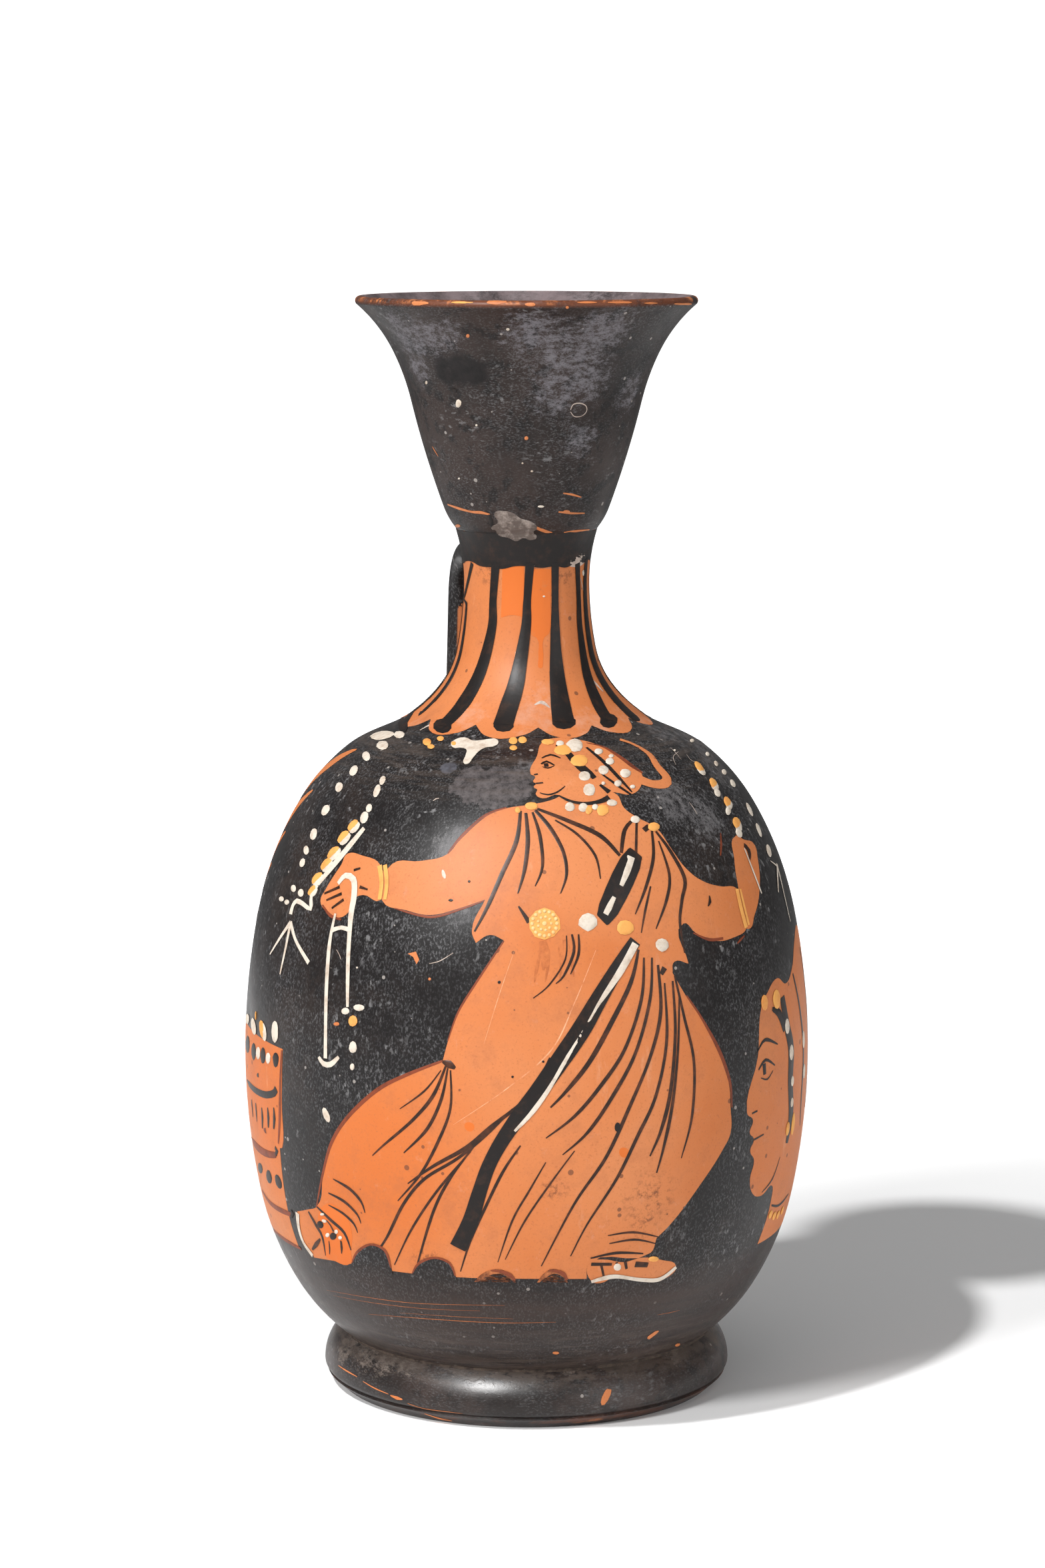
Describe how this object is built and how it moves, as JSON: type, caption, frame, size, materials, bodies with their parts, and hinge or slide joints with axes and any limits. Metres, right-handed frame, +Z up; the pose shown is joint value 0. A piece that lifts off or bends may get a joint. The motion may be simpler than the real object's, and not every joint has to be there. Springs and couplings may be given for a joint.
{
  "type": "lekythos",
  "caption": "Squat wheel-thrown oil flask with a flaring bell mouth, narrow neck, ovoid body, ring foot and strap handle, black glazed with red-figure painting.",
  "frame": {"origin": "centre of the foot's resting ring, on the surface that the vessel stands on", "axes": "+Z up along the vessel's axis, handle on +Y, painted front facing -Y, +X to the right of the front"},
  "size_m": [0.1038, 0.1038, 0.2001],
  "materials": {
    "black_glaze": "satin black slip, scuffed and mottled",
    "fired_clay": "smooth reserved orange clay",
    "luting_slip": "rough brown slip",
    "plaster": "matt grey fill",
    "added_white": "matt cream slip paint",
    "added_yellow": "matt yellow slip paint"
  },
  "bodies": {
    "root": {"body": "black_glaze", "neck": "fired_clay", "mouth": "black_glaze", "foot": "black_glaze", "handle": "black_glaze", "foot_lute": "luting_slip", "neck_lute": "luting_slip", "mouth_lute": "luting_slip", "handle_top_lute": "black_glaze", "handle_root_lute": "black_glaze", "repair_fill": "plaster"}
  },
  "joints": []
}
